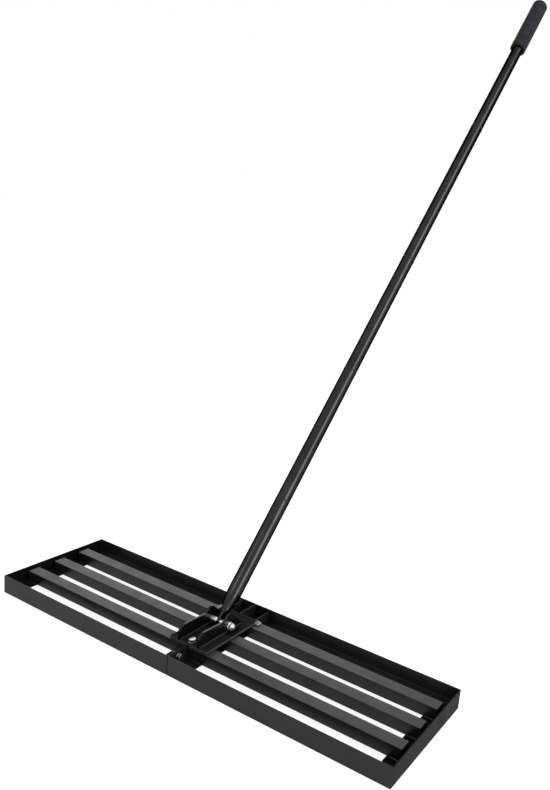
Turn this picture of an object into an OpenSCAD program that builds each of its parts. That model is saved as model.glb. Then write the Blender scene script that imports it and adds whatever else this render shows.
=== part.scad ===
// Lawn leveling rake: a flat steel head in two bolted halves, a pivot bracket and a sectional handle.
// Lengths are in millimetres and angles in degrees.
// The origin is on the ground under the middle of the head.
// +X runs along the head, +Y towards the person who holds the handle, and +Z is up.

/* [Head frame] */
// Length of the whole head, end to end
head_l = 914; // [760:2:1100]
// Depth of the head, front to back
head_w = 254; // [240:1:300]
// Height of the frame walls
wall_h = 38; // [34:0.5:46]
// Thickness of the frame walls
wall_t = 2; // [1.5:0.5:4]
// Reach of the ledges at the ends of each half, from the outside of the frame
ledge_d = 36; // [28:1:40]
// Reach of the ledges along the front and the back
rail_ledge_d = 33; // [26:1:36]
// Height of the ledge's top above the ground
ledge_z = 11; // [9:0.5:14]
// Thickness of the ledge
ledge_t = 2; // [1.5:0.5:4]

/* [Bars] */
// Width of each bar, front to back
bar_w = 25.4; // [20:0.2:28]
// Height of each bar
bar_h = 23; // [20:0.5:26]
// Wall thickness of the bars' box tube
bar_wall = 2; // [1.5:0.25:3]
// Distance between the middles of neighbouring bars
bar_pitch = 64.5; // [58:0.5:68]
// Gap between a bar's outer end and the end wall
bar_end_gap = 9; // [4:0.5:20]
// Thickness of the stays behind the rear bars
stay_t = 3; // [2:0.5:6]

/* [Bracket] */
// Width of the base plate
base_w = 90; // [80:1:120]
// Thickness of the base plate
base_t = 4; // [3:0.5:6]
// Setback of the base plate's ends from the outer faces of the bars
base_setback = 2; // [0.5:0.5:6]
// Clear gap between the ears
ear_gap = 42; // [40:1:54]
// Thickness of each ear
ear_t = 4; // [3:0.5:6]
// Height of an ear's front edge above the base plate
ear_front_h = 19; // [12:0.5:22]
// Length of the slope at an ear's front
ear_nose = 12; // [6:0.5:20]
// Height of an ear's long straight top above the base plate, at its front end
ear_low_h = 27; // [21:0.5:30]
// Height of the straight top at its back end
ear_dip_h = 24; // [19:0.5:28]
// Length of the rise from the straight top to the peak
ear_rise = 10; // [4:0.5:16]
// Height of an ear's peak above the base plate
ear_peak_h = 34; // [30:0.5:42]
// Flat length on an ear's peak
ear_peak_w = 7; // [3:0.5:12]
// Length of the slope behind the peak
ear_tail = 26; // [18:0.5:32]
// Height of the heel where that slope ends
ear_heel_h = 10; // [6:0.5:14]
// Length of the heel's own slope down to the base plate
ear_heel = 10; // [5:0.5:14]

/* [Bolts] */
// Shank diameter of every bolt
bolt_d = 8; // [6:0.5:8]
// Width across the flats of bolt heads and nuts
bolt_af = 13; // [11:0.5:14]
// Height of a bolt head
bolt_head_h = 5.3; // [4:0.1:6]
// Height of a nut
nut_h = 6.5; // [5:0.1:8]
// Height of the lock nut on the pivot bolt
lock_nut_h = 8; // [7:0.1:10]
// Outside diameter of a washer
washer_d = 16; // [14:0.5:17]
// Thickness of a washer
washer_t = 1.6; // [1:0.1:2]
// Length of shank past a nut
bolt_tip = 2; // [1:0.5:4]

/* [Pivot] */
// Distance of the pivot behind the middle of the head
pivot_y = 11.5; // [0:0.5:20]
// Height of the pivot above the base plate
pivot_h = 9; // [8.5:0.5:13]
// Outside diameter of the spacers on the pivot bolt
spacer_d = 10.5; // [10:0.1:14]
// Width of the flat tongue and its eye
eye_d = 14; // [12:0.5:15]
// Thickness of the flat tongue
tongue_t = 6; // [4:0.5:10]

/* [Handle] */
// Lean of the handle back from upright
handle_lean = 41.5; // [0:0.1:70]
// Outside diameter of the handle tube
tube_d = 30; // [25:0.5:32]
// Wall thickness of the handle tube
tube_wall = 1.2; // [1:0.1:2]
// Length of the lowest tube section
tube_1_l = 207; // [150:1:400]
// Length of the second tube section
tube_2_l = 328; // [150:1:500]
// Length of the third tube section
tube_3_l = 328; // [150:1:500]
// Length of the fourth tube section
tube_4_l = 459; // [150:1:600]
// Length of the top tube section
tube_5_l = 514; // [250:1:600]
// Distance from the pivot to the foot's cone
foot_neck = 18; // [14:0.5:40]
// Length of the foot's cone
foot_cone_l = 40; // [20:0.5:60]
// Diameter of the foot's cone at its small end
foot_cone_d = 16; // [15.5:0.5:20]
// Length of the foot's spigot in the lowest tube
spigot_l = 35; // [20:1:60]

/* [Section joints] */
// Thickness of the ring that shows between two sections
ring_t = 3; // [2:0.5:8]
// Height of that ring above the tube's surface
ring_lip = 0.6; // [0.2:0.1:2]
// Length of a connector's plug in the lower tube
plug_l = 30; // [15:1:50]
// Diameter of a connector's stud
stud_d = 16; // [12:0.5:18]
// Length of a connector's stud
stud_l = 26; // [15:1:28]
// Length of the socket in the upper tube
socket_l = 30; // [28:1:50]

/* [Grip] */
// Outside diameter of the grip
grip_d = 43; // [38:0.5:46]
// Length of the grip
grip_l = 197; // [120:1:240]
// Thickness of the grip's closed end
grip_end_t = 5; // [3:0.5:10]
// Rounding of the grip's ends
grip_round = 3; // [2:0.5:5.5]
// Length of the plug in the top of the handle
cap_l = 20; // [10:1:40]

/* [Hidden] */
// Overrun of every cut past the face it opens
over = 1;
// Radial clearance of a bolt in its hole
hole_clear = 0.25;
// Radial clearance of a thread in its nut or socket
thread_clear = 0.1;
// Radial clearance of the pivot bolt in the tongue's eye
pivot_clear = 0.05;
// Gap between the tongue and each spacer
spacer_clear = 0.2;
// Radial clearance of what fits in the tube, and of the grip over it
tube_clear = 0.1;
// Room between a washer and the plate or ear beside it
washer_room = 1;
// Flats of a bolt head or nut
hex_sides = 6;
// Facets of round faces
$fn = 64;

// Half of the head, as one of the two bolted frames
half_l = head_l / 2;
half_w = head_w / 2;
bar_top = ledge_z + bar_h;
bar_l = half_l - 2 * wall_t - bar_end_gap;
bar_reach = bar_pitch + bar_w / 2;
base_top = bar_top + base_t;
base_l = 2 * (bar_reach - base_setback);
base_front = -base_l / 2;
ear_x = ear_gap / 2;
pivot_z = base_top + pivot_h;
// Bolts of the seam between the halves: one in the front bay, two between the bars
seam_bolt_z = bar_top - washer_d / 2 - washer_room;
seam_bolt_ys = [-(half_w - wall_t + bar_reach) / 2, -bar_pitch / 2, bar_pitch / 2];
hex_d = bolt_af / cos(180 / hex_sides);
hole_d = bolt_d + 2 * hole_clear;
nut_bore = bolt_d + 2 * thread_clear;
tube_bore = tube_d - 2 * tube_wall;
insert_d = tube_bore - 2 * tube_clear;
foot_top = foot_neck + foot_cone_l;
tube_ls = [tube_1_l, tube_2_l, tube_3_l, tube_4_l, tube_5_l];
joints = len(tube_ls) - 1;
// Start of tube section i, measured from the pivot
function tube_start(i) = i == 0 ? foot_top : tube_start(i - 1) + tube_ls[i - 1] + ring_t;
tube_end = tube_start(joints) + tube_ls[joints];

black_coat = [0.12, 0.12, 0.13];
zinc = [0.82, 0.82, 0.8];
foam = [0.2, 0.21, 0.23];
plastic = [0.06, 0.06, 0.06];

// Placing

module on_left() {
  mirror([1, 0, 0]) children();
}

// Turns a shape that stands along +Z to lie along +X
module along_x() {
  rotate([0, 90, 0]) children();
}

// Extrudes an outline drawn in Y and Z by t along X
module plate_x(t) {
  rotate([90, 0, 90]) linear_extrude(t) children();
}

module at_pivot() {
  translate([0, pivot_y, pivot_z]) children();
}

module along_handle() {
  at_pivot() rotate([-handle_lean, 0, 0]) children();
}

// Fasteners, standing along +Z

module bolt(l) {
  cylinder(d = hex_d, h = bolt_head_h, $fn = hex_sides);
  translate([0, 0, -l]) cylinder(d = bolt_d, h = l + bolt_head_h / 2);
}

module ring(outer_d, inner_d, h) {
  difference() {
    cylinder(d = outer_d, h = h);
    translate([0, 0, -over]) cylinder(d = inner_d, h = h + 2 * over);
  }
}

module washer() {
  ring(washer_d, hole_d, washer_t);
}

module nut(h) {
  difference() {
    cylinder(d = hex_d, h = h, $fn = hex_sides);
    translate([0, 0, -over]) cylinder(d = nut_bore, h = h + 2 * over);
  }
}

// One mitred side of a frame: its outer face runs from the origin along +X and its ledge reaches to +Y
module frame_side(l, reach) {
  linear_extrude(wall_h) polygon([[0, 0], [l, 0], [l - wall_t, wall_t], [wall_t, wall_t]]);
  translate([0, 0, ledge_z - ledge_t])
    linear_extrude(ledge_t)
      polygon([[wall_t, wall_t], [l - wall_t, wall_t], [l - reach, reach], [reach, reach]]);
}

// Pieces of the right half

module front_rail() {
  translate([0, -half_w, 0]) frame_side(half_l, rail_ledge_d);
}

module back_rail() {
  mirror([0, 1, 0]) front_rail();
}

module outer_end() {
  translate([half_l, -half_w, 0]) rotate([0, 0, 90]) frame_side(head_w, ledge_d);
}

module inner_end() {
  difference() {
    translate([0, half_w, 0]) rotate([0, 0, -90]) frame_side(head_w, ledge_d);
    seam_notch();
    nut_notch();
    for (y = seam_bolt_ys) {
      translate([-over, y, seam_bolt_z]) along_x() cylinder(d = hole_d, h = wall_t + 2 * over);
    }
  }
}

// The seam walls are cut down to the bars where the base plate lies on them
module seam_notch() {
  translate([-over, -base_l / 2, bar_top])
    cube([wall_t + 2 * over, base_l, max(wall_h, base_top) - bar_top + over]);
}

// Room in the seam walls for the nut of the bracket bolt, which bears on the ends of both front bars
module nut_notch() {
  nut_drop = bar_wall + nut_h + bolt_tip + washer_room;
  nut_room = hex_d + 2 * washer_room;
  translate([-over, -bar_pitch - nut_room / 2, bar_top - nut_drop])
    cube([wall_t + 2 * over, nut_room, nut_drop + over]);
}

module bar(y) {
  translate([wall_t, y - bar_w / 2, ledge_z]) difference() {
    cube([bar_l, bar_w, bar_h]);
    translate([-over, bar_wall, bar_wall])
      cube([bar_l + 2 * over, bar_w - 2 * bar_wall, bar_h - 2 * bar_wall]);
  }
}

module front_bar() {
  difference() {
    bar(-bar_pitch);
    translate([0, -bar_pitch, bar_top - bar_wall - over]) cylinder(d = hole_d, h = bar_wall + 2 * over);
  }
}

module stay() {
  translate([ledge_d - stay_t, bar_reach, ledge_z]) cube([stay_t, half_w - wall_t - bar_reach, bar_h]);
}

// The two halves

module left_front_rail() {
  color(black_coat) on_left() front_rail();
}

module left_back_rail() {
  color(black_coat) on_left() back_rail();
}

module left_outer_end() {
  color(black_coat) on_left() outer_end();
}

module left_inner_end() {
  color(black_coat) on_left() inner_end();
}

module left_front_bar() {
  color(black_coat) on_left() front_bar();
}

module left_middle_bar() {
  color(black_coat) on_left() bar(0);
}

module left_rear_bar() {
  color(black_coat) on_left() bar(bar_pitch);
}

module left_stay() {
  color(black_coat) on_left() stay();
}

module right_front_rail() {
  color(black_coat) front_rail();
}

module right_back_rail() {
  color(black_coat) back_rail();
}

module right_outer_end() {
  color(black_coat) outer_end();
}

module right_inner_end() {
  color(black_coat) inner_end();
}

module right_front_bar() {
  color(black_coat) front_bar();
}

module right_middle_bar() {
  color(black_coat) bar(0);
}

module right_rear_bar() {
  color(black_coat) bar(bar_pitch);
}

module right_stay() {
  color(black_coat) stay();
}

// Bolts across the seam, with their heads on the right

module at_seam_bolts() {
  for (y = seam_bolt_ys) {
    translate([0, y, seam_bolt_z]) children();
  }
}

module seam_bolts() {
  color(zinc) at_seam_bolts()
    translate([wall_t + washer_t, 0, 0]) along_x() bolt(2 * wall_t + 2 * washer_t + nut_h + bolt_tip);
}

module seam_washers() {
  color(zinc) at_seam_bolts() {
    translate([wall_t, 0, 0]) along_x() washer();
    translate([-wall_t - washer_t, 0, 0]) along_x() washer();
  }
}

module seam_nuts() {
  color(zinc) at_seam_bolts() translate([-wall_t - washer_t - nut_h, 0, 0]) along_x() nut(nut_h);
}

// Bracket

module at_bracket_bolt() {
  translate([0, -bar_pitch, base_top]) children();
}

module bracket_base() {
  color(black_coat) difference() {
    translate([-base_w / 2, base_front, bar_top]) cube([base_w, base_l, base_t]);
    at_bracket_bolt() translate([0, 0, -base_t - over]) cylinder(d = hole_d, h = base_t + 2 * over);
  }
}

module ear() {
  peak_front = pivot_y - ear_peak_w / 2;
  peak_back = pivot_y + ear_peak_w / 2;
  difference() {
    translate([ear_x, 0, base_top]) plate_x(ear_t) polygon([
      [base_front, 0],
      [base_front, ear_front_h],
      [base_front + ear_nose, ear_low_h],
      [peak_front - ear_rise, ear_dip_h],
      [peak_front, ear_peak_h],
      [peak_back, ear_peak_h],
      [peak_back + ear_tail, ear_heel_h],
      [peak_back + ear_tail + ear_heel, 0]
    ]);
    at_pivot() translate([ear_x - over, 0, 0]) along_x() cylinder(d = hole_d, h = ear_t + 2 * over);
  }
}

module left_ear() {
  color(black_coat) on_left() ear();
}

module right_ear() {
  color(black_coat) ear();
}

module bracket_bolt() {
  color(zinc) at_bracket_bolt()
    translate([0, 0, washer_t]) bolt(washer_t + base_t + bar_wall + nut_h + bolt_tip);
}

module bracket_washer() {
  color(zinc) at_bracket_bolt() washer();
}

module bracket_nut() {
  color(zinc) at_bracket_bolt() translate([0, 0, -base_t - bar_wall - nut_h]) nut(nut_h);
}

// Pivot, with the bolt's head on the left and its lock nut on the right

module pivot_bolt() {
  color(zinc) at_pivot() on_left()
    translate([ear_x + ear_t + washer_t, 0, 0])
      along_x() bolt(ear_gap + 2 * ear_t + 2 * washer_t + lock_nut_h + bolt_tip);
}

module pivot_washers() {
  color(zinc) at_pivot() {
    translate([ear_x + ear_t, 0, 0]) along_x() washer();
    translate([-ear_x - ear_t - washer_t, 0, 0]) along_x() washer();
  }
}

module pivot_nut() {
  color(zinc) at_pivot() translate([ear_x + ear_t + washer_t, 0, 0]) along_x() nut(lock_nut_h);
}

module spacer() {
  spacer_start = tongue_t / 2 + spacer_clear;
  at_pivot() translate([spacer_start, 0, 0]) along_x() ring(spacer_d, hole_d, ear_x - spacer_start);
}

module pivot_spacers() {
  color(zinc) {
    spacer();
    on_left() spacer();
  }
}

// Handle

module handle_foot() {
  color(black_coat) along_handle() difference() {
    union() {
      translate([-tongue_t / 2, 0, 0]) along_x() cylinder(d = eye_d, h = tongue_t);
      translate([-tongue_t / 2, -eye_d / 2, 0]) cube([tongue_t, eye_d, foot_neck + foot_cone_l / 2]);
      translate([0, 0, foot_neck]) cylinder(d1 = foot_cone_d, d2 = tube_d, h = foot_cone_l);
      translate([0, 0, foot_top - foot_cone_l / 2]) cylinder(d = foot_cone_d, h = foot_cone_l / 2 + spigot_l);
      translate([0, 0, foot_top]) cylinder(d = insert_d, h = spigot_l);
    }
    translate([-tongue_t / 2 - over, 0, 0]) along_x() cylinder(d = bolt_d + 2 * pivot_clear, h = tongue_t + 2 * over);
  }
}

module handle_section(i) {
  color(black_coat) along_handle() translate([0, 0, tube_start(i)]) ring(tube_d, tube_bore, tube_ls[i]);
}

module handle_section_1() {
  handle_section(0);
}

module handle_section_2() {
  handle_section(1);
}

module handle_section_3() {
  handle_section(2);
}

module handle_section_4() {
  handle_section(3);
}

module handle_section_5() {
  handle_section(4);
}

// Places its child at the top of each tube section that another one follows
module at_joints() {
  for (i = [1 : joints]) {
    along_handle() translate([0, 0, tube_start(i) - ring_t]) children();
  }
}

module section_connectors() {
  color(black_coat) at_joints() {
    translate([0, 0, -plug_l]) cylinder(d = insert_d, h = plug_l);
    cylinder(d = tube_d + 2 * ring_lip, h = ring_t);
    cylinder(d = stud_d, h = ring_t + stud_l);
  }
}

module section_sockets() {
  color(plastic) at_joints()
    translate([0, 0, ring_t]) ring(insert_d, stud_d + 2 * thread_clear, socket_l);
}

module handle_plug() {
  color(plastic) along_handle() translate([0, 0, tube_end - cap_l]) cylinder(d = insert_d, h = cap_l);
}

module grip_outline() {
  grip_r = grip_d / 2;
  difference() {
    union() {
      square([grip_r - grip_round, grip_l]);
      translate([0, grip_round]) square([grip_r, grip_l - 2 * grip_round]);
      translate([grip_r - grip_round, grip_round]) circle(r = grip_round);
      translate([grip_r - grip_round, grip_l - grip_round]) circle(r = grip_round);
    }
    translate([-over, -over]) square([tube_d / 2 + tube_clear + over, grip_l - grip_end_t + over]);
  }
}

module handle_grip() {
  color(foam) along_handle() translate([0, 0, tube_end + grip_end_t - grip_l]) rotate_extrude() grip_outline();
}

left_front_rail();
left_back_rail();
left_outer_end();
left_inner_end();
left_front_bar();
left_middle_bar();
left_rear_bar();
left_stay();
right_front_rail();
right_back_rail();
right_outer_end();
right_inner_end();
right_front_bar();
right_middle_bar();
right_rear_bar();
right_stay();
seam_bolts();
seam_washers();
seam_nuts();
bracket_base();
left_ear();
right_ear();
bracket_bolt();
bracket_washer();
bracket_nut();
pivot_bolt();
pivot_washers();
pivot_nut();
pivot_spacers();
handle_foot();
handle_section_1();
handle_section_2();
handle_section_3();
handle_section_4();
handle_section_5();
section_connectors();
section_sockets();
handle_plug();
handle_grip();
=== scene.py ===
from math import atan2, cos, hypot, pi, radians, sin, tan

import bmesh
import bpy
from mathutils import Matrix, Vector


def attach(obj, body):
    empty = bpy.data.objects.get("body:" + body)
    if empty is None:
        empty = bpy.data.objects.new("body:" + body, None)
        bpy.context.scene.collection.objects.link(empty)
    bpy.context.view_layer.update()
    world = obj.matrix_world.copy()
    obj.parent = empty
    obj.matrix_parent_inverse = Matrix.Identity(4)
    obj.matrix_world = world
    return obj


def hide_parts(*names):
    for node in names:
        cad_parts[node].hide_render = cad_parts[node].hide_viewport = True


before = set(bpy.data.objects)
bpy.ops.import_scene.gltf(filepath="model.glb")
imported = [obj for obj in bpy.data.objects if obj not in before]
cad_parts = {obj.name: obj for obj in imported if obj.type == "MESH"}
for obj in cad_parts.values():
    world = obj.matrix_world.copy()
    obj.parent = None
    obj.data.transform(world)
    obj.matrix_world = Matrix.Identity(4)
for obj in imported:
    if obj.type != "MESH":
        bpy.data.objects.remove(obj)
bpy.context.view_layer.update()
scene = bpy.context.scene
mm = 0.001
near = 1e-6  # closer than this counts as the same place
sides = {"left": -1, "right": 1}
print("frame loaded:", len(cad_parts), "nodes")


# helpers for places

alongX = Matrix.Rotation(pi / 2, 4, "Y")  # +Z to +X
standUp = Matrix(((0, 0, 1, 0), (1, 0, 0, 0), (0, 1, 0, 0), (0, 0, 0, 1)))  # outline to Y and Z, depth to X


def shift(x=0, y=0, z=0):
    return Matrix.Translation((x, y, z))


def turnZ(degrees):
    return Matrix.Rotation(radians(degrees), 4, "Z")


def mirrorX(sign):
    return Matrix.Scale(sign, 4, (1, 0, 0))


def place(bm, verts, *matrices):
    turn = Matrix.Identity(4)
    for m in matrices:
        turn = turn @ m
    bmesh.ops.transform(bm, matrix=turn, verts=verts)


# helpers for meshes

shading = {"sharpAngle": 40, "mergeDist": 1e-7}


def roundEdges(bm, edges, size, segments=2):
    bmesh.ops.bevel(bm, geom=list(edges), offset=size, offset_type="OFFSET", affect="EDGES",
                    segments=segments, profile=0.5, material=-1, clamp_overlap=True)


def sharpEdges(bm, angle):
    return [e for e in bm.edges if len(e.link_faces) == 2 and e.calc_face_angle(0) > radians(angle)]


def edgeSize(edge, axis):
    return abs(edge.verts[0].co[axis] - edge.verts[1].co[axis])


def newVerts(bm, known):
    return [v for v in bm.verts if v not in known]


def thicken(bm, faces, vec):
    made = bmesh.ops.extrude_face_region(bm, geom=faces)["geom"]
    bmesh.ops.translate(bm, verts=[v for v in made if isinstance(v, bmesh.types.BMVert)], vec=vec)


def lathe(bm, points, steps, closed=True):
    # spins an outline of radius and height about Z
    known = set(bm.verts)
    verts = [bm.verts.new((r, 0, z)) for r, z in points]
    pairs = list(zip(verts, verts[1:]))
    if closed:
        pairs.append((verts[-1], verts[0]))
    edges = [bm.edges.new(p) for p in pairs]
    bmesh.ops.spin(bm, geom=verts + edges, cent=(0, 0, 0), axis=(0, 0, 1), angle=2 * pi,
                   steps=steps, use_merge=True)
    bmesh.ops.remove_doubles(bm, verts=newVerts(bm, known), dist=near)
    return newVerts(bm, known)


def circlePoints(centre, radius, steps):
    angles = [2 * pi * i / steps for i in range(steps)]
    return [(centre[0] + radius * cos(a), centre[1] + radius * sin(a)) for a in angles]


def fillFlat(bm, loops):
    edges = []
    for loop in loops:
        edges += [bm.edges.new(p) for p in zip(loop, loop[1:] + loop[:1])]
    made = bmesh.ops.triangle_fill(bm, edges=edges, use_beauty=True, use_dissolve=False)
    return [g for g in made["geom"] if isinstance(g, bmesh.types.BMFace)]


def roundedLoop(points, radius, keep=(), segments=4):
    # a closed outline with its corners rounded off, except those in keep
    bm = bmesh.new()
    face = bm.faces.new([bm.verts.new((*p, 0)) for p in points])
    soft = [v for i, v in enumerate(face.verts) if i not in keep]
    bmesh.ops.bevel(bm, geom=soft, offset=radius, offset_type="OFFSET", affect="VERTICES",
                    segments=segments, profile=0.5, material=-1)
    bm.faces.ensure_lookup_table()
    loop = [(v.co.x, v.co.y) for v in bm.faces[0].verts]
    bm.free()
    return loop


def makePlate(loop, holes, thick, edge, holeSteps=32, rimAngle=60):
    # a flat plate in X and Y with round holes, extruded up in Z
    bm = bmesh.new()
    loops = [[bm.verts.new((*p, 0)) for p in loop]]
    for centre, radius in holes:
        loops.append([bm.verts.new((*p, 0)) for p in circlePoints(centre, radius, holeSteps)])
    thicken(bm, fillFlat(bm, loops), (0, 0, thick))
    bmesh.ops.recalc_face_normals(bm, faces=bm.faces)
    rims = [e for e in sharpEdges(bm, rimAngle) if edgeSize(e, 2) < near]
    roundEdges(bm, rims, edge)
    return bm


def addPiece(name, bm, body, material, nodes=()):
    bmesh.ops.remove_doubles(bm, verts=bm.verts, dist=shading["mergeDist"])
    bmesh.ops.recalc_face_normals(bm, faces=bm.faces)
    mesh = bpy.data.meshes.new(name)
    bm.to_mesh(mesh)
    bm.free()
    mesh.materials.append(material)
    mesh.polygons.foreach_set("use_smooth", [True] * len(mesh.polygons))
    mesh.set_sharp_from_angle(angle=radians(shading["sharpAngle"]))
    piece = bpy.data.objects.new(name, mesh)
    scene.collection.objects.link(piece)
    even = piece.modifiers.new("evenShading", "WEIGHTED_NORMAL")
    even.keep_sharp = True
    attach(piece, body)
    if nodes:
        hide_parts(*nodes)


# helpers for materials

noiseRange = (0.3, 0.7)  # most of a noise lies between these


def newMaterial(name):
    material = bpy.data.materials.new(name)
    material.use_nodes = True
    tree = material.node_tree
    tree.nodes.clear()
    out = tree.nodes.new("ShaderNodeOutputMaterial")
    shader = tree.nodes.new("ShaderNodeBsdfPrincipled")
    tree.links.new(shader.outputs["BSDF"], out.inputs["Surface"])
    coords = tree.nodes.new("ShaderNodeTexCoord")
    return material, tree, shader, coords.outputs["Object"]


def noise(tree, coords, scale, detail, stretch=None):
    if stretch:
        mapping = tree.nodes.new("ShaderNodeMapping")
        mapping.inputs["Scale"].default_value = stretch
        tree.links.new(coords, mapping.inputs["Vector"])
        coords = mapping.outputs["Vector"]
    node = tree.nodes.new("ShaderNodeTexNoise")
    node.inputs["Scale"].default_value = scale
    node.inputs["Detail"].default_value = detail
    tree.links.new(coords, node.inputs["Vector"])
    return node.outputs["Fac"]


def ramp(tree, fac, stops):
    node = tree.nodes.new("ShaderNodeValToRGB")
    elements = node.color_ramp.elements
    while len(elements) < len(stops):
        elements.new(0.5)
    # set from the end, so that they stay in order
    for element, (pos, colour) in reversed(list(zip(elements, stops))):
        element.position = pos
        element.color = (*colour, 1)
    tree.links.new(fac, node.inputs["Fac"])
    return node.outputs["Color"]


def spread(tree, fac, low, high, start=noiseRange[0], end=noiseRange[1]):
    node = tree.nodes.new("ShaderNodeMapRange")
    node.inputs["From Min"].default_value = start
    node.inputs["From Max"].default_value = end
    node.inputs["To Min"].default_value = low
    node.inputs["To Max"].default_value = high
    tree.links.new(fac, node.inputs["Value"])
    return node.outputs["Result"]


def bump(tree, shader, height, strength, distance, under=None):
    node = tree.nodes.new("ShaderNodeBump")
    node.inputs["Strength"].default_value = strength
    node.inputs["Distance"].default_value = distance
    tree.links.new(height, node.inputs["Height"])
    if under:
        tree.links.new(under, node.inputs["Normal"])
    tree.links.new(node.outputs["Normal"], shader.inputs["Normal"])
    return node.outputs["Normal"]


def greatest(tree, first, *others):
    for other in others:
        node = tree.nodes.new("ShaderNodeMath")
        node.operation = "MAXIMUM"
        tree.links.new(first, node.inputs[0])
        tree.links.new(other, node.inputs[1])
        first = node.outputs[0]
    return first


# black coats of the steel and the plastic

headCoatLook = {"dark": (0.0042, 0.0042, 0.0047), "light": (0.0085, 0.0085, 0.0095), "cloudScale": 22,
                "rough": (0.3, 0.42), "handledScale": 35, "peelScale": 420, "peel": 0.12,
                "peelDepth": 0.0004, "grainScale": 2600, "grain": 0.1, "specular": 0.34}
# painted shade: a copy of the head coat with its specular turned down, for the seam walls and stays
shadedInnerCoatLook = {**headCoatLook, "rough": (0.42, 0.55), "specular": 0.09}
# painted shade: a darker copy of the head coat, with less specular, for the outer ends
shadedEndCoatLook = {**headCoatLook, "dark": (0.0026, 0.0026, 0.0029), "light": (0.0053, 0.0053, 0.0059),
               "rough": (0.36, 0.48), "specular": 0.04}
bracketCoatLook = {"dark": (0.0018, 0.0018, 0.002), "light": (0.004, 0.004, 0.0045), "cloudScale": 40,
                   "rough": (0.16, 0.27), "handledScale": 60, "peelScale": 420, "peel": 0.1,
                   "peelDepth": 0.0003, "grainScale": 2600, "grain": 0.06, "specular": 0.3}
# base plate: a copy of the bracket coat with its specular turned down for painted shade, a painted sheen
# lighter towards the front and a painted highlight along its edges
baseCoatLook = {**bracketCoatLook, "rough": (0.34, 0.46), "specular": 0.015,
                "frontSheen": (0.0115, 0.0115, 0.0122), "frontSheenTone": 0.85, "frontSheenYs": (-10 * mm, 45 * mm),
                "wearAndRimHighlight": (0.045, 0.045, 0.047), "rimHighlightXs": (43.4 * mm, 44.4 * mm),
                "rimHighlightYs": (73.6 * mm, 74.6 * mm)}
# painted shade: a metallic coat with a dark edge tint darkens the handle tubes towards their outlines
tubeCoatLook = {"dark": (0.028, 0.028, 0.0297), "light": (0.04, 0.04, 0.0425), "cloudScale": 30,
                "rough": (0.14, 0.21), "handledScale": 25, "stretch": (1, 0.3, 0.3), "peelScale": 500,
                "peel": 0.05, "peelDepth": 0.0003, "grainScale": 3000, "grain": 0.04, "specular": 0.5,
                "metallic": 1.0, "edge": (0.02, 0.02, 0.02)}
weldCoatLook = {"dark": (0.003, 0.003, 0.0033), "light": (0.007, 0.007, 0.0075), "cloudScale": 160,
                "rough": (0.3, 0.45), "handledScale": 200, "peelScale": 700, "peel": 0.35,
                "peelDepth": 0.0005, "grainScale": 2600, "grain": 0.1, "specular": 0.3}
plasticLook = {"dark": (0.006, 0.006, 0.006), "light": (0.011, 0.011, 0.011), "cloudScale": 60,
               "rough": (0.42, 0.55), "handledScale": 60, "peelScale": 1500, "peel": 0.12,
               "peelDepth": 0.0002, "grainScale": 4000, "grain": 0.08, "specular": 0.35}


def paintedPlateLight(tree, coords, look):
    # painted sheen, lighter towards the front, and a painted highlight along the edges
    split = tree.nodes.new("ShaderNodeSeparateXYZ")
    tree.links.new(coords, split.inputs["Vector"])
    paintedLight = [spread(tree, split.outputs["Y"], look["frontSheenTone"], 0, *look["frontSheenYs"])]
    for axis, reach in (("X", look["rimHighlightXs"]), ("Y", look["rimHighlightYs"])):
        size = tree.nodes.new("ShaderNodeMath")
        size.operation = "ABSOLUTE"
        tree.links.new(split.outputs[axis], size.inputs[0])
        paintedLight.append(spread(tree, size.outputs[0], 0, 1, *reach))
    return paintedLight


def makeCoat(name, look):
    material, tree, shader, coords = newMaterial(name)
    tone = noise(tree, coords, look["cloudScale"], detail=4)
    stops = list(zip(noiseRange, (look["dark"], look["light"])))
    # painted sheen towards the front and painted highlight along the edges
    if "wearAndRimHighlight" in look:
        tone = greatest(tree, tone, *paintedPlateLight(tree, coords, look))
        stops += [(look["frontSheenTone"], look["frontSheen"]), (1, look["wearAndRimHighlight"])]
    tree.links.new(ramp(tree, tone, stops), shader.inputs["Base Color"])
    handled = noise(tree, coords, look["handledScale"], detail=5, stretch=look.get("stretch"))
    tree.links.new(spread(tree, handled, *look["rough"]), shader.inputs["Roughness"])
    peel = noise(tree, coords, look["peelScale"], detail=2)
    first = bump(tree, shader, peel, look["peel"], look["peelDepth"])
    grain = noise(tree, coords, look["grainScale"], detail=2)
    bump(tree, shader, grain, look["grain"], look["peelDepth"] / 2, first)
    shader.inputs["Specular IOR Level"].default_value = look["specular"]
    shader.inputs["Metallic"].default_value = look.get("metallic", 0)
    shader.inputs["Specular Tint"].default_value = (*look.get("edge", (1, 1, 1)), 1)
    return material


headCoat = makeCoat("headCoat", headCoatLook)
shadedInnerCoat = makeCoat("shadedInnerCoat", shadedInnerCoatLook)
shadedEndCoat = makeCoat("shadedEndCoat", shadedEndCoatLook)
bracketCoat = makeCoat("bracketCoat", bracketCoatLook)
baseCoat = makeCoat("baseCoat", baseCoatLook)
tubeCoat = makeCoat("tubeCoat", tubeCoatLook)
weldCoat = makeCoat("weldCoat", weldCoatLook)
blackPlastic = makeCoat("blackPlastic", plasticLook)


# zinc plate of the fasteners, and the bare tack welds

zincLook = {"dark": (0.68, 0.68, 0.67), "light": (0.88, 0.88, 0.87), "spangleScale": 260,
            "rough": (0.3, 0.44), "wornScale": 500, "brushScale": 1800, "brush": 0.1,
            "brushDepth": 0.0002, "metallic": 1.0}
# a smoother copy of the zinc for the bracket bolt, its colour darkened for painted shade
shinyShadedZincLook = {**zincLook, "dark": (0.38, 0.38, 0.373), "light": (0.54, 0.54, 0.532),
                 "rough": (0.14, 0.24)}
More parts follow.
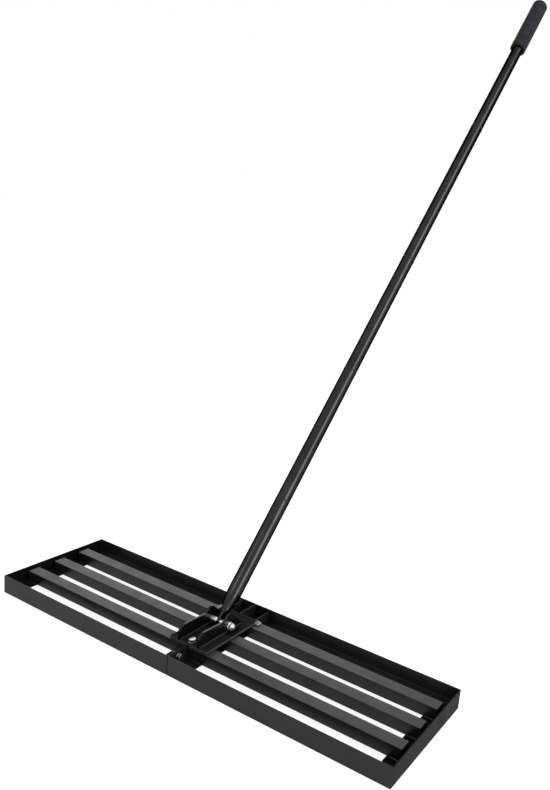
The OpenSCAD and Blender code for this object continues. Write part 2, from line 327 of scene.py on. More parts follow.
# painted shade: a darker copy of the zinc, for the fasteners in shaded places
shadedZincLook = {**zincLook, "dark": (0.14, 0.14, 0.14), "light": (0.3, 0.3, 0.295), "rough": (0.24, 0.38),
                "brush": 0.12}
bareWeldLook = {**zincLook, "dark": (0.1, 0.1, 0.1), "light": (0.3, 0.3, 0.295), "spangleScale": 420,
                "rough": (0.32, 0.5), "brushScale": 900, "brush": 0.4, "brushDepth": 0.0004,
                "metallic": 0.85}


def makeZinc(name, look):
    material, tree, shader, coords = newMaterial(name)
    spangle = noise(tree, coords, look["spangleScale"], detail=4)
    stops = list(zip(noiseRange, (look["dark"], look["light"])))
    tree.links.new(ramp(tree, spangle, stops), shader.inputs["Base Color"])
    wearAndRimHighlight = noise(tree, coords, look["wornScale"], detail=3)
    tree.links.new(spread(tree, wearAndRimHighlight, *look["rough"]), shader.inputs["Roughness"])
    brushed = noise(tree, coords, look["brushScale"], detail=2)
    bump(tree, shader, brushed, look["brush"], look["brushDepth"])
    shader.inputs["Metallic"].default_value = look["metallic"]
    return material


zincPlate = makeZinc("zincPlate", zincLook)
shinyShadedZinc = makeZinc("shinyShadedZinc", shinyShadedZincLook)
shadedZinc = makeZinc("shadedZinc", shadedZincLook)
bareWeld = makeZinc("bareWeld", bareWeldLook)


# foam of the grip

foamLook = {"dark": (0.009, 0.009, 0.0125), "light": (0.027, 0.0262, 0.0345), "mottleScale": 60,
            "mottleRange": (0.28, 0.72), "rough": (0.8, 0.95), "cellScale": 900, "cell": 0.25,
            "cellDepth": 0.0006, "creaseScale": 160, "crease": 0.25, "specular": 0.1}


def makeFoam(name, look):
    material, tree, shader, coords = newMaterial(name)
    mottle = noise(tree, coords, look["mottleScale"], detail=6)
    stops = list(zip(look["mottleRange"], (look["dark"], look["light"])))
    tree.links.new(ramp(tree, mottle, stops), shader.inputs["Base Color"])
    cells = tree.nodes.new("ShaderNodeTexVoronoi")
    cells.inputs["Scale"].default_value = look["cellScale"]
    tree.links.new(coords, cells.inputs["Vector"])
    first = bump(tree, shader, cells.outputs["Distance"], look["cell"], look["cellDepth"])
    creases = noise(tree, coords, look["creaseScale"], detail=4)
    bump(tree, shader, creases, look["crease"], look["cellDepth"], first)
    tree.links.new(spread(tree, mottle, *look["rough"]), shader.inputs["Roughness"])
    shader.inputs["Specular IOR Level"].default_value = look["specular"]
    return material


gripFoam = makeFoam("gripFoam", foamLook)
print("materials made:", len(bpy.data.materials))


# head frame: two halves of mitred sides, each a wall with an inner ledge

headFrame = {"length": 914 * mm, "depth": 254 * mm, "height": 38 * mm, "wall": 2 * mm,
             "ledgeReach": 36 * mm, "railReach": 33 * mm, "ledgeTop": 11 * mm, "ledge": 2 * mm,
             "edgeRound": 0.7 * mm, "cornerRound": 1.6 * mm, "seamGap": 0.7 * mm}
halfLength = headFrame["length"] / 2
halfDepth = headFrame["depth"] / 2
ledgeLow = headFrame["ledgeTop"] - headFrame["ledge"]
sidePlaces = {"front": shift(0, -halfDepth),
              "back": Matrix.Scale(-1, 4, (0, 1, 0)) @ shift(0, -halfDepth),
              "outer": shift(halfLength, -halfDepth) @ turnZ(90)}


def makeSide(length, reach, gap=0):
    wall, height, top = headFrame["wall"], headFrame["height"], headFrame["ledgeTop"]
    outline = [(0, 0), (wall, 0), (wall, ledgeLow), (reach, ledgeLow), (reach, top), (wall, top),
               (wall, height), (0, height)]
    bm = bmesh.new()
    profile = bm.faces.new([bm.verts.new((0, y, z)) for y, z in outline])
    thicken(bm, [profile], (length, 0, 0))
    bmesh.ops.recalc_face_normals(bm, faces=bm.faces)
    longEdges = [e for e in bm.edges if edgeSize(e, 0) > length / 2]
    roundEdges(bm, longEdges, headFrame["edgeRound"], segments=3)
    for v in bm.verts:  # mitre both ends, the first with a groove that closes at the wall's inner face
        groove = gap * max(0, 1 - v.co.y / wall)
        v.co.x += v.co.y + groove if v.co.x < length / 2 else -v.co.y
    corners = [e for e in bm.edges if all(abs(v.co.y) < near for v in e.verts)
               and edgeSize(e, 2) > height / 2]
    roundEdges(bm, corners, headFrame["cornerRound"], segments=3)
    return bm


for side, sign in sides.items():
    for kind in ("front", "back"):
        bm = makeSide(halfLength, headFrame["railReach"], headFrame["seamGap"])
        place(bm, bm.verts, mirrorX(sign), sidePlaces[kind])
        addPiece(f"{side}_{kind}_rail_steel", bm, "head", headCoat, [f"{side}_{kind}_rail"])
    bm = makeSide(headFrame["depth"], headFrame["ledgeReach"])
    place(bm, bm.verts, mirrorX(sign), sidePlaces["outer"])
    addPiece(f"{side}_outer_end_steel", bm, "head", shadedEndCoat, [f"{side}_outer_end"])
print("rails made")


# seam walls: cut down under the base plate, notched for its nut and drilled for the bolts

seamWall = {"notchHalf": 75.2 * mm, "notchZ": 34 * mm, "hole": 4.25 * mm, "holeZ": 25 * mm,
            "holeYs": (-101.1 * mm, -32.25 * mm, 32.25 * mm), "holeSteps": 24,
            "nutY": -64.5 * mm, "nutHalf": 8.5 * mm, "nutZ": 22.5 * mm,
            "topRound": 0.42 * mm, "topAngle": 50}


def makeInnerEnd():
    wall, height, reach = headFrame["wall"], headFrame["height"], headFrame["ledgeReach"]
    notch, notchZ, nutZ = seamWall["notchHalf"], seamWall["notchZ"], seamWall["nutZ"]
    end = halfDepth - wall + headFrame["seamGap"]  # into the rails' walls, short of their outer faces
    nutLow = seamWall["nutY"] - seamWall["nutHalf"]
    nutHigh = seamWall["nutY"] + seamWall["nutHalf"]
    outline = [(-end, 0), (end, 0), (end, height), (notch, height), (notch, notchZ), (nutHigh, notchZ),
               (nutHigh, nutZ), (nutLow, nutZ), (nutLow, notchZ), (-notch, notchZ),
               (-notch, height), (-end, height)]
    bm = bmesh.new()
    loops = [[bm.verts.new((0, y, z)) for y, z in outline]]
    for y in seamWall["holeYs"]:
        hole = circlePoints((y, seamWall["holeZ"]), seamWall["hole"], seamWall["holeSteps"])
        loops.append([bm.verts.new((0, *p)) for p in hole])
    thicken(bm, fillFlat(bm, loops), (wall, 0, 0))
    bmesh.ops.recalc_face_normals(bm, faces=bm.faces)
    tops = [e for e in sharpEdges(bm, seamWall["topAngle"]) if all(v.co.z > notchZ - near for v in e.verts)
            and edgeSize(e, 0) < near and edgeSize(e, 2) < near]
    roundEdges(bm, tops, seamWall["topRound"])
    wallY, reachY = halfDepth - wall, halfDepth - reach
    ledge = [(wall, -wallY), (wall, wallY), (reach, reachY), (reach, -reachY)]
    underside = bm.faces.new([bm.verts.new((x, y, ledgeLow)) for x, y in ledge])
    thicken(bm, [underside], (0, 0, headFrame["ledge"]))
    return bm


for side, sign in sides.items():
    bm = makeInnerEnd()
    place(bm, bm.verts, mirrorX(sign))
    addPiece(f"{side}_inner_end_steel", bm, "head", shadedInnerCoat, [f"{side}_inner_end"])
print("seam walls made")


# bars: box tubes with rounded corners, open at both ends

bars = {"width": 25.4 * mm, "height": 23 * mm, "wall": 2 * mm, "length": 444 * mm, "corner": 0.6 * mm,
        "pitch": 64.5 * mm, "start": headFrame["wall"], "base": headFrame["ledgeTop"]}
barRows = {"front": -1, "middle": 0, "rear": 1}


def makeBar(y):
    halfWidth, halfHeight = bars["width"] / 2, bars["height"] / 2
    bm = bmesh.new()
    bmesh.ops.create_cube(bm, size=1)
    bmesh.ops.scale(bm, vec=(bars["length"], bars["width"], bars["height"]), verts=bm.verts)
    ends = [f for f in bm.faces if abs(f.normal.x) > 0.9]
    bmesh.ops.delete(bm, geom=ends, context="FACES_ONLY")
    bmesh.ops.recalc_face_normals(bm, faces=bm.faces)
    bmesh.ops.solidify(bm, geom=bm.faces[:], thickness=bars["wall"])
    outer = {v for v in bm.verts if abs(v.co.y) > halfWidth - near and abs(v.co.z) > halfHeight - near}
    corners = [e for e in bm.edges if all(v in outer for v in e.verts)]
    roundEdges(bm, corners, bars["corner"], segments=3)
    place(bm, bm.verts, shift(bars["start"] + bars["length"] / 2, y, bars["base"] + halfHeight))
    return bm


for side, sign in sides.items():
    for row, step in barRows.items():
        bm = makeBar(step * bars["pitch"])
        place(bm, bm.verts, mirrorX(sign))
        addPiece(f"{side}_{row}_bar_tube", bm, "head", headCoat, [f"{side}_{row}_bar"])
print("bars made")


# stays: upright strips from the rear bars to the back wall

stays = {"inner": 33 * mm, "thick": 3 * mm, "round": 0.6 * mm}


def makeStay():
    low = Vector((stays["inner"], bars["pitch"] + bars["width"] / 2, bars["base"]))
    high = Vector((stays["inner"] + stays["thick"], halfDepth - headFrame["wall"],
                   bars["base"] + bars["height"]))
    bm = bmesh.new()
    bmesh.ops.create_cube(bm, size=1)
    bmesh.ops.scale(bm, vec=high - low, verts=bm.verts)
    bmesh.ops.translate(bm, vec=(low + high) / 2, verts=bm.verts)
    roundEdges(bm, bm.edges, stays["round"])
    return bm


for side, sign in sides.items():
    bm = makeStay()
    place(bm, bm.verts, mirrorX(sign))
    addPiece(f"{side}_stay_steel", bm, "head", shadedInnerCoat, [f"{side}_stay"])
print("stays made")


# bracket: a base plate on the bars and two ears for the pivot

bracket = {"halfWidth": 45 * mm, "halfLength": seamWall["notchHalf"], "low": seamWall["notchZ"],
           "thick": 4 * mm, "corner": 2.5 * mm, "edge": 0.7 * mm, "baseEdge": 1.3 * mm,
           "boltY": seamWall["nutY"], "hole": seamWall["hole"], "earGap": 42 * mm, "ear": 4 * mm,
           "earCorner": 2.5 * mm, "pivotY": 11.5 * mm, "pivotZ": 47 * mm}
# along Y and up from the base plate, in mm
earOutline = [(-75.2, 0), (-75.2, 19), (-63.2, 27), (-2, 24), (8, 34), (15, 34), (41, 10), (51, 0)]
baseTop = bracket["low"] + bracket["thick"]
earIn = bracket["earGap"] / 2
earOut = earIn + bracket["ear"]
pivot = Vector((0, bracket["pivotY"], bracket["pivotZ"]))


def makeBasePlate():
    x, y = bracket["halfWidth"], bracket["halfLength"]
    loop = roundedLoop([(-x, -y), (x, -y), (x, y), (-x, y)], bracket["corner"])
    bm = makePlate(loop, [((0, bracket["boltY"]), bracket["hole"])], bracket["thick"], bracket["baseEdge"])
    place(bm, bm.verts, shift(0, 0, bracket["low"]))
    return bm


def makeEar(sign):
    points = [(y * mm, z * mm) for y, z in earOutline]
    loop = roundedLoop(points, bracket["earCorner"], keep=(0, len(points) - 1))
    hole = ((pivot.y, pivot.z - baseTop), bracket["hole"])
    bm = makePlate(loop, [hole], bracket["ear"], bracket["edge"])
    place(bm, bm.verts, mirrorX(sign), shift(earIn, 0, baseTop), standUp)
    return bm


addPiece("bracket_base_plate", makeBasePlate(), "head", baseCoat, ["bracket_base"])
for side, sign in sides.items():
    addPiece(f"{side}_ear_plate", makeEar(sign), "head", bracketCoat, [f"{side}_ear"])
print("bracket made")


# fasteners, modelled along +Z

fastener = {"shank": 4 * mm, "shankSteps": 32, "inHead": 0.5 * mm, "tail": 2 * mm, "pitch": 1.25 * mm,
            "threadDepth": 0.55 * mm, "tipShare": 0.6, "tipInset": 0.3 * mm, "steps": 48,
            "flats": 13 * mm, "faceShare": 0.475, "blankShare": 0.55, "chamfer": 30, "head": 5.3 * mm,
            "nut": 6.5 * mm, "nutBore": 4.1 * mm, "washer": 8 * mm, "washerBore": 4.25 * mm,
            "washerThick": 1.6 * mm, "washerEdge": 0.25 * mm}
lockNut = {"height": 8 * mm, "collarHeight": 2.4 * mm, "collar": 5.6 * mm, "sunk": 0.2 * mm,
           "roundHeight": 1.4 * mm, "roundWidth": 1.2 * mm, "arc": 5}


def hexShape(verts, face, height, bothEnds):
    # turns the round outside of a lathed blank into a chamfered hexagon
    for v in verts:
        if hypot(v.co.x, v.co.y) > face + near:
            angle = atan2(v.co.y, v.co.x)
            wanted = fastener["flats"] / 2 / cos((angle + pi / 6) % (pi / 3) - pi / 6)
            v.co.x, v.co.y = wanted * cos(angle), wanted * sin(angle)
            drop = max(0, wanted - face) * tan(radians(fastener["chamfer"]))
            if v.co.z > height / 2:
                v.co.z = height - drop
            elif bothEnds:
                v.co.z = drop


def addHex(bm, height, bore=0, bothEnds=False):
    face = fastener["flats"] * fastener["faceShare"]
    outer = fastener["flats"] * fastener["blankShare"]
    points = [(bore, 0), (face, 0), (outer, 0), (outer, height), (face, height), (bore, height)]
    verts = lathe(bm, points, fastener["steps"], closed=bore > 0)
    hexShape(verts, face, height, bothEnds)
    return verts


def addShank(bm, length, thread):
    radius, pitch, inHead = fastener["shank"], fastener["pitch"], fastener["inHead"]
    root = radius - fastener["threadDepth"]
    z = pitch * fastener["tipShare"] - length
    points = [(0, -length), (root - fastener["tipInset"], -length), (root, z)]
    while z < thread - length:
        points += [(radius, z + pitch / 2), (root, z + pitch)]
        z += pitch
    points += [(radius, z + pitch / 2), (radius, inHead), (0, inHead)]
    return lathe(bm, points, fastener["shankSteps"], closed=False)


def addBolt(bm, length, thread):
    known = set(bm.verts)
    addHex(bm, fastener["head"])
    addShank(bm, length, thread)
    return newVerts(bm, known)


def addNut(bm):
    return addHex(bm, fastener["nut"], fastener["nutBore"], bothEnds=True)


def addLockNut(bm):
    # a hexagon with the rounded collar that holds its nylon ring
    known = set(bm.verts)
    bore, collar, tall = fastener["nutBore"], lockNut["collar"], lockNut["height"]
    flat = tall - lockNut["collarHeight"]
    shoulder = tall - lockNut["roundHeight"]
    addHex(bm, flat, bore, bothEnds=True)
    points = [(bore, flat - lockNut["sunk"]), (collar, flat - lockNut["sunk"]), (collar, shoulder)]
    for i in range(1, lockNut["arc"] + 1):
        angle = pi / 2 * i / lockNut["arc"]
        radius = collar - lockNut["roundWidth"] * (1 - cos(angle))
        points.append((radius, shoulder + lockNut["roundHeight"] * sin(angle)))
    points.append((bore, tall))
    lathe(bm, points, fastener["steps"])
    return newVerts(bm, known)


def addRing(bm, outer, bore, height, edge, steps):
    points = [(bore, edge), (bore + edge, 0), (outer - edge, 0), (outer, edge), (outer, height - edge),
              (outer - edge, height), (bore + edge, height), (bore, height - edge)]
    return lathe(bm, points, steps)


def addWasher(bm):
    return addRing(bm, fastener["washer"], fastener["washerBore"], fastener["washerThick"],
                   fastener["washerEdge"], fastener["steps"])


# bolts across the seam, with a washer on each side

seamSet = {"thread": 9 * mm, "firstTurn": 17, "nextTurn": 23}


def makeSeamSet():
    wall, nut = headFrame["wall"], fastener["nut"]
    outside = wall + fastener["washerThick"]  # from the seam to a washer's outer face
    length = 2 * outside + nut + fastener["tail"]
    bolts, washers, nuts = bmesh.new(), bmesh.new(), bmesh.new()
    for i, y in enumerate(seamWall["holeYs"]):
        centre = shift(0, y, seamWall["holeZ"])
        turn = turnZ(seamSet["firstTurn"] + seamSet["nextTurn"] * i)
        place(bolts, addBolt(bolts, length, seamSet["thread"]), centre, shift(outside), alongX, turn)
        for x in (wall, -outside):
            place(washers, addWasher(washers), centre, shift(x), alongX)
        place(nuts, addNut(nuts), centre, shift(-outside - nut), alongX, turn)
    addPiece("seam_bolt_set", bolts, "head", shadedZinc, ["seam_bolts"])
    addPiece("seam_washer_set", washers, "head", shadedZinc, ["seam_washers"])
    addPiece("seam_nut_set", nuts, "head", shadedZinc, ["seam_nuts"])


# bolt of the base plate, with its nut in the seam walls' notch

bracketSet = {"thread": 9 * mm, "turn": 11}


def makeBracketSet():
    washer, nut = fastener["washerThick"], fastener["nut"]
    held = bracket["thick"] + bars["wall"]  # base plate and the bars' top walls
    length = washer + held + nut + fastener["tail"]
    centre = shift(0, bracket["boltY"], baseTop)
    turn = turnZ(bracketSet["turn"])
    bolts, washers, nuts = bmesh.new(), bmesh.new(), bmesh.new()
    place(bolts, addBolt(bolts, length, bracketSet["thread"]), centre, shift(0, 0, washer), turn)
    place(washers, addWasher(washers), centre)
    place(nuts, addNut(nuts), centre, shift(0, 0, -held - nut), turn)
    addPiece("bracket_bolt_steel", bolts, "head", shinyShadedZinc, ["bracket_bolt"])
    addPiece("bracket_washer_steel", washers, "head", shadedZinc, ["bracket_washer"])
    addPiece("bracket_nut_steel", nuts, "head", zincPlate, ["bracket_nut"])


# pivot bolt, its head on the left, with a spacer on each side of the handle's tongue

pivotSet = {"thread": 14 * mm, "headTurn": 8, "nutTurn": 14, "spacer": 5.25 * mm, "spacerStart": 3.2 * mm,
            "spacerEdge": 0.3 * mm}


def makePivotSet():
    washer = fastener["washerThick"]
    outside = earOut + washer
    length = 2 * outside + lockNut["height"] + fastener["tail"]
    spacerLength = earIn - pivotSet["spacerStart"]
    centre = Matrix.Translation(pivot)
    bolts, washers, nuts, spacers = bmesh.new(), bmesh.new(), bmesh.new(), bmesh.new()
    place(bolts, addBolt(bolts, length, pivotSet["thread"]), centre, shift(-outside), alongX.inverted(),
          turnZ(pivotSet["headTurn"]))
    for x in (earOut, -outside):
        place(washers, addWasher(washers), centre, shift(x), alongX)
    place(nuts, addLockNut(nuts), centre, shift(outside), alongX, turnZ(pivotSet["nutTurn"]))
    for x in (pivotSet["spacerStart"], -earIn):
        ring = addRing(spacers, pivotSet["spacer"], fastener["washerBore"], spacerLength,
                       pivotSet["spacerEdge"], fastener["steps"])
        place(spacers, ring, centre, shift(x), alongX)
    addPiece("pivot_bolt_steel", bolts, "head", zincPlate, ["pivot_bolt"])
    addPiece("pivot_washer_pair", washers, "head", zincPlate, ["pivot_washers"])
    addPiece("pivot_nut_steel", nuts, "head", zincPlate, ["pivot_nut"])
    addPiece("pivot_spacer_pair", spacers, "head", zincPlate, ["pivot_spacers"])


makeSeamSet()
makeBracketSet()
makePivotSet()
print("fasteners made")


# handle, modelled along +Z from the pivot and leaned back

handle = {"lean": 41.5, "tube": 15 * mm, "wall": 1.2 * mm, "tubeEdge": 0.35 * mm, "slack": 0.1 * mm,
          "lengths": (207 * mm, 328 * mm, 328 * mm, 459 * mm, 514 * mm), "steps": 64}
foot = {"eye": 7 * mm, "eyeBore": 4.05 * mm, "eyeSteps": 24, "tongue": 6 * mm, "tongueEdge": 0.8 * mm,
        "neck": 18 * mm, "noseDrop": 1 * mm, "noseInset": 1.5 * mm, "noseRim": 0.6 * mm, "cone": 40 * mm,
        "coneSmall": 8 * mm, "coneSteps": 16, "softShare": 0.35, "spigot": 35 * mm}
connector = {"ring": 3 * mm, "ringLip": 0.6 * mm, "ringEdge": 0.5 * mm, "plug": 30 * mm, "stud": 8 * mm,
             "studLength": 26 * mm, "lead": 1 * mm}
lean = Matrix.Translation(pivot) @ Matrix.Rotation(-radians(handle["lean"]), 4, "X")
insert = handle["tube"] - handle["wall"] - handle["slack"]  # radius of what goes into a tube
tubeStart = foot["neck"] + foot["cone"]


def makeTongue():
    eye, tall = foot["eye"], foot["neck"] + foot["cone"] / 2
    angles = [pi + pi * i / foot["eyeSteps"] for i in range(foot["eyeSteps"] + 1)]
    loop = [(eye * cos(a), eye * sin(a)) for a in angles] + [(eye, tall), (-eye, tall)]
    bm = makePlate(loop, [((0, 0), foot["eyeBore"])], foot["tongue"], foot["tongueEdge"])
    place(bm, bm.verts, shift(-foot["tongue"] / 2), standUp)
    return bm


def makeFoot():
    neck, small, soft = foot["neck"], foot["coneSmall"], foot["softShare"]
    points = [(0, neck - foot["noseDrop"]), (small - foot["noseInset"], neck - foot["noseRim"])]
    for i in range(foot["coneSteps"] + 1):  # swells softly from the neck to the tube
        t = i / foot["coneSteps"]
        swell = (1 - soft) * t + soft * (1 - cos(pi * t)) / 2
        points.append((small + (handle["tube"] - small) * swell, neck + foot["cone"] * t))
    end = tubeStart + foot["spigot"]
    points += [(insert, tubeStart), (insert, end), (0, end)]
    bm = makeTongue()
    lathe(bm, points, handle["steps"], closed=False)
    place(bm, bm.verts, lean)
    return bm


def addConnector(bm, at):
    # a plug for the lower tube, a ring that shows, and a stud for the upper tube
    tube, ring, edge = handle["tube"], connector["ring"], connector["ringEdge"]
    plug, stud, lead = connector["plug"], connector["stud"], connector["lead"]
    lip = tube + connector["ringLip"]
    studEnd = ring + connector["studLength"]
    points = [(0, -plug), (insert - lead, -plug), (insert, lead - plug), (insert, 0), (tube, 0),
              (lip, edge), (lip, ring - edge), (tube, ring), (stud, ring), (stud, studEnd - lead),
              (stud - lead, studEnd), (0, studEnd)]
    place(bm, lathe(bm, points, handle["steps"], closed=False), lean, shift(0, 0, at))


addPiece("handle_foot_steel", makeFoot(), "handle", tubeCoat, ["handle_foot"])
connectors = bmesh.new()
tubeEnd = tubeStart
for number, length in enumerate(handle["lengths"], 1):
    if number > 1:
        addConnector(connectors, tubeEnd)
        tubeEnd += connector["ring"]
    bm = bmesh.new()
    tubeBore = handle["tube"] - handle["wall"]
    addRing(bm, handle["tube"], tubeBore, length, handle["tubeEdge"], handle["steps"])
    place(bm, bm.verts, lean, shift(0, 0, tubeEnd))
    addPiece(f"handle_tube_{number}", bm, "handle", tubeCoat, [f"handle_section_{number}"])
    tubeEnd += length
addPiece("section_connector_set", connectors, "handle", blackPlastic,
         ["section_connectors"])
for node in ("section_sockets", "handle_plug"):
    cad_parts[node].data.materials.clear()
    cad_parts[node].data.materials.append(blackPlastic)
print("handle made, tube end at", round(tubeEnd, 4))


# grip: a foam sleeve with rounded ends, closed over the tube's end

grip = {"radius": 21.5 * mm, "length": 197 * mm, "end": 5 * mm, "bore": handle["tube"] + handle["slack"],
        "round": 3 * mm, "arc": 8, "mouthRise": 0.8 * mm, "mouthFlare": 0.6 * mm, "steps": 64}


def makeGrip():
    bore, soft = grip["bore"], grip["round"]
    high = tubeEnd + grip["end"]
    low = high - grip["length"]
    inner = grip["radius"] - soft
    angles = [pi / 2 * i / grip["arc"] for i in range(grip["arc"] + 1)]
    points = [(bore, tubeEnd), (bore, low + grip["mouthRise"]), (bore + grip["mouthFlare"], low)]
    points += [(inner + soft * sin(a), low + soft * (1 - cos(a))) for a in angles]
    points += [(inner + soft * cos(a), high - soft * (1 - sin(a))) for a in angles]
    points += [(0, high), (0, tubeEnd)]
    bm = bmesh.new()
    lathe(bm, points, grip["steps"])
    place(bm, bm.verts, lean)
    return bm


addPiece("handle_grip_foam", makeGrip(), "handle", gripFoam, ["handle_grip"])
print("grip made")


# weld beads, painted over with the frame

welds = {"radius": 1.9 * mm, "ripple": 0.16, "pitch": 3.2 * mm, "steps": 10, "endShare": 0.6,
         "end": 0.2 * mm, "seamXs": (6 * mm, 34 * mm), "outerInsets": (34 * mm, 13 * mm),
         "cornerInset": 0.7 * mm, "cornerDrop": 2 * mm, "earYs": (-72 * mm, 47 * mm)}


def addBead(bm, start, end):
    run = Vector(end) - Vector(start)
    radius, length = welds["radius"], run.length
    count = max(3, int(length / welds["pitch"] * 2))
    tip = radius * welds["endShare"]
    points = [(0, 0), (tip, welds["end"])]
    for i in range(1, count):
        ripple = welds["ripple"] if i % 2 else -welds["ripple"]
        points.append((radius * (1 + ripple), length * i / count))
    points += [(tip, length - welds["end"]), (0, length)]
    verts = lathe(bm, points, welds["steps"], closed=False)
    place(bm, verts, Matrix.Translation(start), run.to_track_quat("Z", "Y").to_matrix().to_4x4())


def makeBeads():
    top = headFrame["ledgeTop"]
    inset = headFrame["wall"] + welds["cornerInset"]
    outerXs = [halfLength - x for x in welds["outerInsets"]]
    bm = bmesh.new()
    for sign in sides.values():
        for step in barRows.values():
            for edge in (-1, 1):
                y = step * bars["pitch"] + edge * bars["width"] / 2
                for start, end in (welds["seamXs"], outerXs):
                    addBead(bm, (sign * start, y, top), (sign * end, y, top))
        for edge in (-1, 1):
            x, y = sign * (halfLength - inset), edge * (halfDepth - inset)
            addBead(bm, (x, y, top), (x, y, headFrame["height"] - welds["cornerDrop"]))
        for x in (earIn, earOut):
            start, end = [(sign * x, y, baseTop) for y in welds["earYs"]]
            addBead(bm, start, end)
    return bm


addPiece("frame_weld_beads", makeBeads(), "head", weldCoat)


# bare tack welds at the rear corners of the base plate, uneven as a quick tack is

tacks = {"at": (47.5 * mm, 71 * mm, 35 * mm), "size": (6.8 * mm, 7.6 * mm, 4.2 * mm), "lumps": 0.1,
         "broadWave": (4, 5), "fineWave": (9, 3), "fineShare": 0.6}


def makeTacks():
    x, y, z = tacks["at"]
    broadX, broadY = tacks["broadWave"]
    fineY, fineZ = tacks["fineWave"]
    bm = bmesh.new()
    for sign in sides.values():
        lump = bmesh.ops.create_icosphere(bm, subdivisions=4, radius=1)["verts"]
        for v in lump:
            broad = sin(broadX * v.co.x + 1) * cos(broadY * v.co.y)
            fine = tacks["fineShare"] * sin(fineY * v.co.y + fineZ * v.co.z + sign)
            v.co *= 1 + tacks["lumps"] * (broad + fine)
        place(bm, lump, shift(sign * x, y, z), Matrix.Diagonal((*tacks["size"], 1)))
    return bm


addPiece("base_tack_welds", makeTacks(), "head", bareWeld)
print("welds made")


# floor and world: white to the camera and in mirrors, plain to the rest

stage = {"size": 14.0, "floorColour": (0.8, 0.8, 0.8), "worldLight": 0.75, "seenGlow": 0.88,
         "mirroredGlow": 0.68, "seenShade": 0.3, "mirroredShade": 0.2}


def mixShaders(tree, fac, first, second):
    node = tree.nodes.new("ShaderNodeMixShader")
    tree.links.new(fac, node.inputs["Fac"])
    tree.links.new(first, node.inputs[1])
    tree.links.new(second, node.inputs[2])
    return node.outputs[0]


def paleLook(tree, glow, shade):
    # a white that still takes the object's shadow
    white = tree.nodes.new("ShaderNodeEmission")
    white.inputs["Strength"].default_value = glow
    lit = tree.nodes.new("ShaderNodeBsdfDiffuse")
    lit.inputs["Color"].default_value = (shade, shade, shade, 1)
    both = tree.nodes.new("ShaderNodeAddShader")
    tree.links.new(white.outputs[0], both.inputs[0])
    tree.links.new(lit.outputs[0], both.inputs[1])
    return both.outputs[0]


def makeFloorLook():
    material = bpy.data.materials.new("paleFloor")
    material.use_nodes = True
    tree = material.node_tree
    tree.nodes.clear()
    out = tree.nodes.new("ShaderNodeOutputMaterial")
    path = tree.nodes.new("ShaderNodeLightPath")
    facing = tree.nodes.new("ShaderNodeNewGeometry")
    plain = tree.nodes.new("ShaderNodeBsdfDiffuse")
    plain.inputs["Color"].default_value = (*stage["floorColour"], 1)
    clear = tree.nodes.new("ShaderNodeBsdfTransparent")
    mirrored = greatest(tree, path.outputs["Is Glossy Ray"], path.outputs["Is Transmission Ray"])
    inMirror = paleLook(tree, stage["mirroredGlow"], stage["mirroredShade"])
    seen = paleLook(tree, stage["seenGlow"], stage["seenShade"])
    look = mixShaders(tree, mirrored, plain.outputs[0], inMirror)
    look = mixShaders(tree, path.outputs["Is Camera Ray"], look, seen)
    # clear from below, so the underside can be seen
    look = mixShaders(tree, facing.outputs["Backfacing"], look, clear.outputs[0])
    tree.links.new(look, out.inputs["Surface"])
    return material


def makeFloor():
    bm = bmesh.new()
    bmesh.ops.create_grid(bm, x_segments=1, y_segments=1, size=stage["size"])
    mesh = bpy.data.meshes.new("floor")
    bm.to_mesh(mesh)
    bm.free()
    mesh.materials.append(makeFloorLook())
    floor = bpy.data.objects.new("floor", mesh)
    scene.collection.objects.link(floor)


def makeWorld():
    scene.world = bpy.data.worlds.new("studio")
    scene.world.use_nodes = True
    tree = scene.world.node_tree
    tree.nodes.clear()
    out = tree.nodes.new("ShaderNodeOutputWorld")
    path = tree.nodes.new("ShaderNodeLightPath")
    soft = tree.nodes.new("ShaderNodeBackground")
    soft.inputs["Color"].default_value = (1, 1, 1, 1)
    soft.inputs["Strength"].default_value = stage["worldLight"]
    white = tree.nodes.new("ShaderNodeBackground")
    white.inputs["Color"].default_value = (1, 1, 1, 1)
    seen = greatest(tree, path.outputs["Is Camera Ray"], path.outputs["Is Glossy Ray"],
                    path.outputs["Is Transmission Ray"])
    tree.links.new(mixShaders(tree, seen, soft.outputs[0], white.outputs[0]), out.inputs["Surface"])


makeFloor()
makeWorld()


# lamps: the strip lies along the handle, for the streak on its tubes

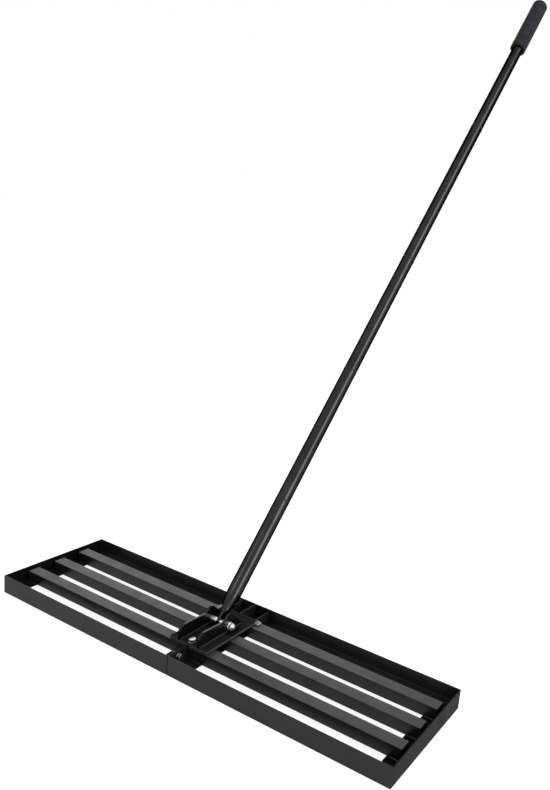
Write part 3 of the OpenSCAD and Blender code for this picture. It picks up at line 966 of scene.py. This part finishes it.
lamps = {"key": {"at": (-0.65, -1.7, 1.75), "aim": (0, 0.05, 0.1), "size": (0.9, 0.9), "power": 6},
         "strip": {"at": (1.85, 0.665, 1.91), "aim": (0, 1.225, 1.415), "size": (1.1, 4.7), "power": 67},
         "back": {"at": (-2.2, 2.9, 2.2), "aim": (0, 0, 0.05), "size": (3.0, 2.0), "power": 17}}
upright = Vector((0, 0, 1))


def makeLamp(name, look, along):
    light = bpy.data.lights.new(name, "AREA")
    light.shape = "RECTANGLE"
    light.size, light.size_y = look["size"]
    light.energy = look["power"]
    lamp = bpy.data.objects.new(name, light)
    away = (Vector(look["at"]) - Vector(look["aim"])).normalized()
    across = along.cross(away).normalized()
    turn = Matrix((across, away.cross(across), away)).transposed().to_4x4()
    lamp.matrix_world = Matrix.Translation(look["at"]) @ turn
    lamp.visible_camera = False
    scene.collection.objects.link(lamp)


for name, look in lamps.items():
    makeLamp(name, look, lean.to_3x3() @ upright if name == "strip" else upright)


# camera, fitted to the photograph

view = {"at": (0.8530, -1.0554, 0.8233), "forward": (-0.4842, 0.8468, -0.2203),
        "up": (-0.2008, 0.1376, 0.9699), "focalPx": 773.8, "centrePx": (353.87, 395.12),
        "imagePx": (550, 790), "sensor": 36, "nearest": 0.02}


def makeCamera():
    camera = bpy.data.objects.new("photoView", bpy.data.cameras.new("photoView"))
    scene.collection.objects.link(camera)
    forward = Vector(view["forward"]).normalized()
    right = forward.cross(Vector(view["up"])).normalized()
    turn = Matrix((right, right.cross(forward), -forward)).transposed().to_4x4()
    camera.matrix_world = Matrix.Translation(view["at"]) @ turn
    wide, tall = view["imagePx"]
    centreX, centreY = view["centrePx"]
    camera.data.sensor_width = view["sensor"]
    camera.data.lens = view["focalPx"] * view["sensor"] / tall
    camera.data.shift_x = (wide / 2 - centreX) / tall
    camera.data.shift_y = (centreY - tall / 2) / tall
    camera.data.clip_start = view["nearest"]
    scene.camera = camera


makeCamera()
scene.view_settings.view_transform = "Standard"
print("stage made")
